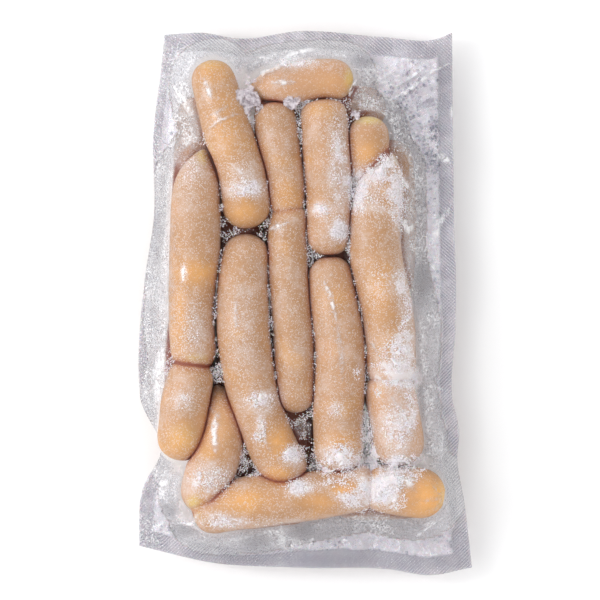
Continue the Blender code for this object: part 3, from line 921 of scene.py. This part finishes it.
def filmSheet(name, across, along, side):
    bpy.ops.object.select_all(action="DESELECT")
    bpy.ops.mesh.primitive_grid_add(x_subdivisions=across, y_subdivisions=along, size=1, location=(0, 0, 0))
    sheet = bpy.context.active_object
    sheet.name = name
    raw = coordsOf(sheet)
    u, v = np.clip(raw[:, 0] + 0.5, 0, 1), np.clip(raw[:, 1] + 0.5, 0, 1)
    order = np.lexsort((np.round(v * along), np.round(u * across))).reshape(across + 1, along + 1)
    x, y = pouchPlan(u, v).T
    inFrom = howFarIn(u, v)
    seam = seamHeight(x, y)
    best, pastUpper, pastBack, between = stretchedOver(x, y, side)
    between = between * (1 - spotsAt(film["openSpots"], x, y))
    seal = sealShare(inFrom)
    flat = smoothStep(np.minimum.reduce(list(inFrom.values())), 0.5, film["flatFor"])
    margin = smoothStep(seam * side + 6.0 - best, 0, 7.0)
    if side > 0:
        snow = smoothStep(frostAt(x, y), 0.62, 0.95) * (1 - margin)
        height = frontHeight(seam + film["apart"], best, order, flat, snow)
        height = height + ruffles(x, y, inFrom, smoothStep(pastUpper, 0.5, 5.0) * (1 - 0.85 * seal))
        for points, rise, wide in film["creases"]:
            away, _ = awayFromLine(x, y, points)
            height = height + rise * np.exp(-((away / wide) ** 1.5)) * (1 - 0.5 * seal)
    else:
        height = backHeight(seam - film["apart"], best, order, flat)
    setCoords(sheet, toPack(np.column_stack([x, y, height])))
    seal = seal * smoothStep(pastUpper, 0.3, 2.0)
    overBack = smoothStep(pastUpper, 0.3, 3.0) * smoothStep(-pastBack, -0.5, 3.0)
    front = side > 0
    setValues(sheet, "seal", seal)
    setValues(sheet, "margin", smoothStep(pastUpper, 0.4, 3.0) * (1 - between))
    setValues(sheet, "milkyAndHighlight", milkyAndHighlightShare(x, y) * front)
    setValues(sheet, "dim", spotsAt(film["dimSpots"], x, y))
    setValues(sheet, "weave", 1 - v)
    setValues(sheet, "rough", smoothStep(-inFrom["left"], -13, -8))
    setValues(sheet, "cling", spotsAt(clingSpots, x, y) * front)
    setValues(sheet, "veil", overBack * front * (1 - between))
    gap = smoothStep(pastUpper, -1.3, 0.0) * between
    return sheet, {"x": x, "y": y, "z": height, "gap": gap, "margin": margin, "seal": seal, "order": order}


def makeFilm():
    front, facts = filmSheet("clearFilm", film["across"], film["along"], 1)
    back, _ = filmSheet("backSheet", film["across"] // 2, film["along"] // 2, -1)
    select(back)
    bpy.ops.object.mode_set(mode="EDIT")
    bpy.ops.mesh.select_all(action="SELECT")
    bpy.ops.mesh.flip_normals()
    bpy.ops.object.mode_set(mode="OBJECT")
    select(front, back)
    bpy.ops.object.join()
    bpy.ops.object.mode_set(mode="EDIT")
    bpy.ops.mesh.select_mode(type="EDGE")
    bpy.ops.mesh.select_all(action="DESELECT")
    bpy.ops.mesh.select_non_manifold()
    bpy.ops.mesh.bridge_edge_loops()
    bpy.ops.mesh.select_all(action="SELECT")
    bpy.ops.mesh.quads_convert_to_tris()
    bpy.ops.mesh.normals_make_consistent(inside=False)
    bpy.ops.object.mode_set(mode="OBJECT")
    front.data.shade_smooth()
    return front, facts


filmLook = {
    "overLinks": (0.99, 0.99, 0.99),
    "margins": (0.928, 0.937, 0.965),
    "meshLines": (0.72, 0.735, 0.785),
    "dim": (0.69, 0.695, 0.725),
    "paintedDarkSpecks": (0.50, 0.51, 0.55),
    "whiteFoldsAndHighlights": (0.93, 0.93, 0.95),
    "hazeInMargins": 0.05,
    "hazeInSeals": 0.07,
    "hazeOverBack": 0.16,
    "haze": (0.56, 0.56, 0.60),
    "hazeRoughness": 0.35,
    "meshPitch": 1.38,
    "slants": ((0.66, 0.75), (0.7, -0.71)),  # which way the mesh runs: upper half, lower half
    # how fine each mottling is, in bumps a metre
    "patches": 85.0, "uneven": 130.0, "ridges": 150.0, "crinkles": 380.0,
    "jitter": 700.0, "darkSpecks": 820.0, "glitter": 1000.0,
}


def pressedMesh(tree, coord, seal, rough):
    # the seal bands' fine mesh of slanting lines, which turns to plain grain at the left
    split = addNode(tree, "SeparateXYZ", {0: coord})
    turnRate = 2 * math.pi / (filmLook["meshPitch"] * mm)
    jitter = noiseNode(tree, coord, filmLook["jitter"], 1.0)
    jitter = times(tree, jitter, rangeNode(tree, rough, 0, 1, 1.5, 14.0))
    slants = []
    for sx, sy in filmLook["slants"]:
        slant = timesPlus(tree, split.outputs["X"], sx * turnRate, jitter)
        slants.append(mathNode(tree, "SINE", timesPlus(tree, split.outputs["Y"], sy * turnRate, slant)))
    lower = rangeNode(tree, valueOf(tree, "weave"), 0.4, 0.6)
    knurl = times(tree, slants[0], mathNode(tree, "SUBTRACT", 1.0, lower))
    knurl = rangeNode(tree, timesPlus(tree, slants[1], lower, knurl), -1.0, 1.0)
    uneven = rangeNode(tree, noiseNode(tree, coord, filmLook["uneven"], 3.0), 0.35, 0.62, 0.45, 1.0)
    return times(tree, knurl, uneven, seal)


def makeFilmLook():
    paint, tree = newMaterial("clearPouchFilm")
    tree.nodes.remove(tree.nodes["Principled BSDF"])
    coord = placeOn(tree)
    margin, seal, cling = valueOf(tree, "margin"), valueOf(tree, "seal"), valueOf(tree, "cling")
    dim, rough = valueOf(tree, "dim"), valueOf(tree, "rough")
    knurl = pressedMesh(tree, coord, seal, rough)
    crinkle = noiseNode(tree, coord, filmLook["crinkles"], 3.0, 0.6)
    glitter = noiseNode(tree, coord, filmLook["glitter"], 1.0, 0.5)
    relief = times(tree, timesPlus(tree, glitter, 0.5, crinkle), timesPlus(tree, margin, 1.0, 0.10))
    normal = bumpNode(tree, timesPlus(tree, knurl, 0.30, relief), 1.0, 0.0010)
    plain = times(tree, margin, timesPlus(tree, seal, -0.8, 1.0))
    tint = mixNode(tree, plain, filmLook["overLinks"], filmLook["margins"])
    tint = mixNode(tree, times(tree, dim, margin), tint, filmLook["dim"])
    # painted glints and dark reflections of the fine wrinkles: bright and dark specks in patches, and bright
    # lines
    patch = rangeNode(tree, noiseNode(tree, coord, filmLook["patches"], 2.0), 0.36, 0.62, 0.25, 1.0)
    patch = times(tree, patch, margin, timesPlus(tree, dim, -0.85, 1.0))
    grainless = times(tree, mathNode(tree, "SUBTRACT", 1.0, rough, clamp=True), seal, 0.75)
    patch = times(tree, patch, mathNode(tree, "SUBTRACT", 1.0, grainless))
    dark = rangeNode(tree, noiseNode(tree, coord, filmLook["darkSpecks"], 1.0), 0.57, 0.68)
    tint = mixNode(tree, times(tree, dark, patch, 0.8), tint, filmLook["paintedDarkSpecks"])
    paintedGlintLine = noiseNode(tree, coord, filmLook["ridges"], 4.0, 0.6)
    paintedGlintLine = mathNode(tree, "ABSOLUTE", timesPlus(tree, paintedGlintLine, 2.0, -1.0))
    paintedGlintLine = times(tree, rangeNode(tree, paintedGlintLine, 0.0, 0.09, 0.75, 0.0), mathNode(tree, "SUBTRACT", 1.0, seal))
    paintedGlints = times(tree, mathNode(tree, "MAXIMUM", rangeNode(tree, glitter, 0.54, 0.66), paintedGlintLine), patch)
    # painted highlights and milky folds from the lines on the film
    milkyAndHighlight = times(tree, valueOf(tree, "milkyAndHighlight"), rangeNode(tree, crinkle, 0.36, 0.60, 0.25, 1.0))
    whiteFoldsAndHighlights = mathNode(tree, "MAXIMUM", times(tree, paintedGlints, 0.8), milkyAndHighlight)
    # clear film with a thin gloss, and haze, painted white where the glints, highlights and milky folds lie
    clear = addNode(tree, "BsdfTransparent", {"Color": mixNode(tree, knurl, tint, filmLook["meshLines"])})
    smooth = mathNode(tree, "MAXIMUM", margin, cling)
    polish = rangeNode(tree, smooth, 0, 1, 0.34, 0.12)
    gloss = addNode(tree, "BsdfAnisotropic", {"Color": (1, 1, 1), "Roughness": polish, "Normal": normal})
    much = rangeNode(tree, smooth, 0, 1, 0.3, 2.4)
    share = mathNode(tree, "MULTIPLY", mirrorShare(tree, normal), much, clamp=True)
    shine = mixShaders(tree, share, clear, gloss)
    hazeColour = mixNode(tree, rangeNode(tree, whiteFoldsAndHighlights, 0.0, 0.45), filmLook["haze"], filmLook["whiteFoldsAndHighlights"])
    hazeLook = {"Base Color": hazeColour, "Roughness": filmLook["hazeRoughness"], "Normal": normal}
    haze = addNode(tree, "BsdfPrincipled", hazeLook)
    amount = timesPlus(tree, seal, filmLook["hazeInSeals"], times(tree, margin, filmLook["hazeInMargins"]))
    amount = timesPlus(tree, valueOf(tree, "veil"), filmLook["hazeOverBack"], amount)
    setSurface(tree, mixShaders(tree, mathNode(tree, "MAXIMUM", amount, whiteFoldsAndHighlights), shine, haze))
    return paint


clearFilm, filmFacts = makeFilm()
clearFilm.data.materials.append(makeFilmLook())
print("film drawn over:", len(clearFilm.data.polygons), "faces")

# snow that lies thick between the links and the film, and frost grains on it and in the crevices

snowLook = {"shade": (0.88, 0.80, 0.83), "light": (0.95, 0.91, 0.935), "roughness": 0.5, "clouds": 300.0}

drifts = {
    "under": 0.25, "thick": 0.9, "edge": 1.6, "from": 0.72,
    "spots": [
        (36, -93, 23, 12, 0.8), (20, -82, 10, 8, 0.85), (55, -84, 8, 4, 0.8), (40, -103, 9, 8, 0.75),
        (-3, -98, 8, 5, 0.9), (-6, -80, 7, 5, 0.8), (9, 50, 4.5, 3, 0.95), (27, 60, 3, 10, 0.8),
        (52, -30, 8, 10, 0.75), (50, -107, 6, 6, 0.9), (38, 72.5, 7, 3, 0.8), (44, 79, 3, 2.5, 0.8),
        (-25, -50, 9, 4, 0.7), (-27, -72, 3, 4, 0.7), (28, -37, 3, 5, 0.7), (19, 40, 4, 5, 0.65),
        (48, -41.5, 12, 4, 1.35), (38, -36, 4, 6, 0.85), (39, -47, 3, 5, 0.8), (56, -48, 4, 8, 0.7),
        (54, -12, 4, 12, 0.6), (44, -95.5, 18, 3.5, 1.35), (36.5, -86, 3, 10, 1.2), (14, -97, 7, 2.5, 1.2),
        (30, -96, 8, 3.5, 1.2), (-58.5, -93, 3.2, 3, 0.85), (12, -88, 7, 8, 0.75), (60, -92, 6, 5, 0.8),
    ],
}

grains = {
    "seed": 11, "inGaps": 6500, "onDrifts": 15000,
    "size": (0.16, 0.42), "under": 0.1, "deep": 0.9, "flat": 0.7,
    "spots": [
        # where the links meet, the crevices are full of them
        (-40, 40, 7, 5, 1.0), (6, 27, 8, 4, 1.0), (22, 24, 4, 8, 0.9), (-48.5, 11.5, 3, 7, 0.9),
        (-3, -68, 8, 13, 1.0), (-30, -87, 8, 9, 1.0), (-48, -42, 5, 11, 0.2), (-30, -40, 4, 14, 0.5),
        (27, 62, 5, 16, 0.9), (30, 98, 9, 10, 0.8), (-1, 108, 8, 4, 0.8), (30, -30, 4, 14, 0.7),
        (36, -60, 5, 12, 0.8), (-29, 100, 4, 8, 0.5),
    ],
}


def makeSnowLook():
    paint, tree = newMaterial("whiteFrost")
    cloud = noiseNode(tree, placeOn(tree), snowLook["clouds"], 2.0)
    setInputs(tree, tree.nodes["Principled BSDF"], {
        "Base Color": mixNode(tree, cloud, snowLook["shade"], snowLook["light"]),
        "Roughness": snowLook["roughness"],
        "Subsurface Weight": 0.2,
        "Subsurface Scale": 0.002,
    })
    return paint


def makeDrifts():
    order = filmFacts["order"]
    x, y, z = (filmFacts[key][order] for key in ("x", "y", "z"))
    level = spotsAt(drifts["spots"], x, y)
    level = level + 0.6 * (valueNoise(x, y, 6.0, 31) - 0.5) + 0.9 * (valueNoise(x, y, 2.1, 32) - 0.5)
    level = (level - drifts["from"]) * (1 - filmFacts["margin"][order])
    sink = drifts["edge"] * np.exp(-np.clip(level, 0, None) / 0.12)
    lumps = 0.35 * valueNoise(x, y, 1.9, 33) + 0.25 * valueNoise(x, y, 0.9, 34)
    height = z - drifts["under"] - sink - lumps
    kept = level > -0.03
    number = np.full(order.shape, -1)
    number[kept] = np.arange(kept.sum())
    corners = np.stack([number[:-1, :-1], number[1:, :-1], number[1:, 1:], number[:-1, 1:]], axis=-1)
    faces = [tuple(int(i) for i in face) for face in corners[(corners >= 0).all(axis=-1)]]
    piece = pieceFrom("snowDrifts", np.column_stack([x[kept], y[kept], height[kept]]), faces)
    select(piece)
    bpy.ops.object.mode_set(mode="EDIT")
    bpy.ops.mesh.select_all(action="SELECT")
    bpy.ops.mesh.delete_loose()
    bpy.ops.object.mode_set(mode="OBJECT")
    solid = piece.modifiers.new("thickness", "SOLIDIFY")
    solid.thickness = drifts["thick"] * mm
    solid.offset = -1
    bpy.ops.object.modifier_apply(modifier="thickness")
    piece.data.shade_smooth()
    return piece


def scatter(name, places, sizes, seed):
    # eight-sided grains, each turned and stretched its own way
    turn = random.Random(seed)
    corners = [(1, 0, 0), (-1, 0, 0), (0, 1, 0), (0, -1, 0), (0, 0, 1), (0, 0, -1)]
    sides = [(0, 2, 4), (2, 1, 4), (1, 3, 4), (3, 0, 4), (2, 0, 5), (1, 2, 5), (3, 1, 5), (0, 3, 5)]
    points, faces = [], []
    for place, size in zip(places, sizes):
        angle, tilt = turn.uniform(0, 6.28), turn.uniform(-0.7, 0.7)
        stretch = [size * turn.uniform(0.6, 1.4) for _ in range(3)]
        start = len(points)
        for cx, cy, cz in corners:
            x, y, z = cx * stretch[0], cy * stretch[1], cz * stretch[2] * grains["flat"]
            y, z = y * math.cos(tilt) - z * math.sin(tilt), y * math.sin(tilt) + z * math.cos(tilt)
            x, y = x * math.cos(angle) - y * math.sin(angle), x * math.sin(angle) + y * math.cos(angle)
            points.append((place[0] + x, place[1] + y, place[2] + z))
        faces += [tuple(start + k for k in side) for side in sides]
    return pieceFrom(name, points, faces)


def pickFromFilm(weights, count, seed):
    pick = np.random.RandomState(seed)
    chosen = pick.choice(len(weights), count, p=weights / weights.sum())
    places = np.column_stack([filmFacts[key][chosen] for key in ("x", "y", "z")])
    places[:, :2] += pick.uniform(-0.45, 0.45, (count, 2))
    places[:, 2] -= grains["under"]
    return places, pick


def makeGrains():
    x, y = filmFacts["x"], filmFacts["y"]
    frost = frostAt(x, y)
    bunches = valueNoise(x, y, 3.5, 41) ** 2
    bunches = bunches * (0.60 + 0.4 * spotsAt(grains["spots"], x, y) + np.clip(frost - 0.5, 0, 1))
    inGaps, pick = pickFromFilm(filmFacts["gap"] * bunches, grains["inGaps"], grains["seed"])
    inGaps[:, 2] -= grains["deep"] * pick.rand(len(inGaps))
    heaped = np.clip(np.maximum(spotsAt(drifts["spots"], x, y), frost - 0.2) - 0.35, 0, 1)
    heaped = heaped * (0.15 + valueNoise(x, y, 4.0, 43) ** 2) * (1 - filmFacts["margin"])
    onDrifts, pick = pickFromFilm(heaped, grains["onDrifts"], grains["seed"] + 1)
    places = np.concatenate([inGaps, onDrifts])
    return scatter("frostGrains", places, pick.uniform(*grains["size"], len(places)), grains["seed"])


whiteFrost = makeSnowLook()
snowDrifts = makeDrifts()
snowDrifts.data.materials.append(whiteFrost)
print("snow drifts:", len(snowDrifts.data.polygons), "faces")
frostGrains = makeGrains()
frostGrains.data.materials.append(whiteFrost)
print("frost grains:", len(frostGrains.data.polygons), "faces")

# bubbles and droplets in the margins

bubbles = {
    "seed": 21, "count": 480, "size": (0.35, 1.1), "flat": 0.6, "long": (0.8, 1.5),
    "tint": (0.86, 0.865, 0.885), "roughness": 0.06,
    "thinly": 0.15,
    "spots": [(66, 85, 18, 45, 1.0), (-74, -95, 10, 14, 1.2), (70, -30, 10, 30, 0.8)],
}


def makeBubbles():
    bpy.ops.object.select_all(action="DESELECT")
    bpy.ops.mesh.primitive_ico_sphere_add(subdivisions=1, radius=1, location=(0, 0, 0))
    start = bpy.context.active_object
    bpy.ops.object.mode_set(mode="EDIT")
    bpy.ops.mesh.select_all(action="SELECT")
    bpy.ops.mesh.bisect(plane_co=(0, 0, -0.2), plane_no=(0, 0, 1), clear_inner=True, use_fill=True)
    bpy.ops.object.mode_set(mode="OBJECT")
    shape = coordsOf(start)
    faces = [tuple(face.vertices) for face in start.data.polygons]
    x, y, z = filmFacts["x"], filmFacts["y"], filmFacts["z"]
    clusters = bubbles["thinly"]
    for px, py, across, along, much in bubbles["spots"]:
        clusters = clusters + much * np.exp(-(((x - px) / across) ** 2 + ((y - py) / along) ** 2))
    clusters = clusters * valueNoise(x, y, 14.0, 9) ** 2
    weights = filmFacts["margin"] * (1 - filmFacts["seal"]) * clusters
    pick = np.random.RandomState(bubbles["seed"])
    chosen = pick.choice(len(weights), bubbles["count"], p=weights / weights.sum())
    smallest, largest = bubbles["size"]
    sizes = smallest + (largest - smallest) * pick.rand(len(chosen)) ** 2.5
    points, allFaces = [], []
    for k, size in zip(chosen, sizes):
        first = len(points)
        dome = shape * (size, size * pick.uniform(*bubbles["long"]), size * bubbles["flat"])
        points += list(np.array([x[k], y[k], z[k]]) + dome)
        allFaces += [tuple(first + i for i in face) for face in faces]
    bpy.data.objects.remove(start, do_unlink=True)
    piece = pieceFrom("filmBubbles", points, allFaces)
    piece.data.shade_smooth()
    return piece


def makeBubbleLook():
    paint, tree = newMaterial("wetBubble")
    tree.nodes.remove(tree.nodes["Principled BSDF"])
    clear = addNode(tree, "BsdfTransparent", {"Color": bubbles["tint"]})
    gloss = addNode(tree, "BsdfAnisotropic", {"Roughness": bubbles["roughness"]})
    setSurface(tree, mixShaders(tree, mirrorShare(tree), clear, gloss))
    return paint


filmBubbles = makeBubbles()
filmBubbles.data.materials.append(makeBubbleLook())
print("bubbles:", len(filmBubbles.data.polygons), "faces")

# ice shards that stand up between the links

shards = {
    "seed": 5,
    # middle of each heap, how many, how long in mm
    "heaps": [
        ((-32.5, 111.5), 11, 6.0), ((-8, 110.5), 10, 4.4), ((-25, 105.5), 5, 2.4),
        ((-30, 119), 3, 2.8), ((27, 103), 7, 2.2),
    ],
    "height": 41.0,
    "dark": (0.56, 0.48, 0.53), "light": (0.90, 0.86, 0.90), "clear": (0.96, 0.955, 0.965),
    "roughness": 0.22, "clouds": 420.0,
}


def turned(places, angle, tilt):
    # tilted about x, then turned about z
    c, s = math.cos(angle), math.sin(angle)
    turnZ = np.array([[c, -s, 0], [s, c, 0], [0, 0, 1]])
    c, s = math.cos(tilt), math.sin(tilt)
    turnX = np.array([[1, 0, 0], [0, c, -s], [0, s, c]])
    return places @ turnX.T @ turnZ.T


def makeShard(pick, middle, size):
    bpy.ops.object.select_all(action="DESELECT")
    bpy.ops.mesh.primitive_ico_sphere_add(subdivisions=1, radius=1, location=(0, 0, 0))
    shard = bpy.context.active_object
    bpy.ops.object.mode_set(mode="EDIT")
    bpy.ops.mesh.select_all(action="SELECT")
    bpy.ops.transform.resize(value=(1.0, pick.uniform(0.35, 0.7), pick.uniform(0.16, 0.3)))
    bpy.ops.mesh.bevel(offset=0.03, segments=1)
    bpy.ops.object.mode_set(mode="OBJECT")
    places = coordsOf(shard)
    own = Vector((pick.uniform(0, 50), 0, 0))
    places += np.array([noise.noise_vector(Vector(p) * 1.7 + own) for p in places]) * 0.35
    long = size * pick.uniform(0.6, 1.1)
    places = turned(places, pick.uniform(0, 6.28), pick.uniform(-0.6, 0.6)) * long
    spread = size * 0.75
    places += (middle[0] + pick.uniform(-spread, spread), middle[1] + pick.uniform(-spread, spread),
               shards["height"] + pick.uniform(-1.2, 0.6))
    setCoords(shard, toPack(places))
    return shard


def makeShards():
    pick = random.Random(shards["seed"])
    made = [makeShard(pick, middle, size) for middle, count, size in shards["heaps"] for _ in range(count)]
    select(*made)
    bpy.ops.object.join()
    made[0].name = "iceShards"
    return made[0]


def makeShardLook():
    paint, tree = newMaterial("lilacIce")
    cloud = noiseNode(tree, placeOn(tree), shards["clouds"], 3.0)
    ice = tree.nodes["Principled BSDF"]
    shade = mixNode(tree, cloud, shards["dark"], shards["light"])
    setInputs(tree, ice, {"Base Color": shade, "Roughness": shards["roughness"]})
    clear = addNode(tree, "BsdfTransparent", {"Color": shards["clear"]})
    setSurface(tree, mixShaders(tree, rangeNode(tree, cloud, 0.35, 0.62, 0.25, 0.70), clear, ice))
    return paint


iceShards = makeShards()
iceShards.data.materials.append(makeShardLook())
print("ice shards:", len(iceShards.data.polygons), "faces")

# hand over

for piece in (*linkPieces, clearFilm, snowDrifts, frostGrains, filmBubbles, iceShards):
    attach(piece, "root")
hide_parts("vacuum_pack")
print("pieces handed over")
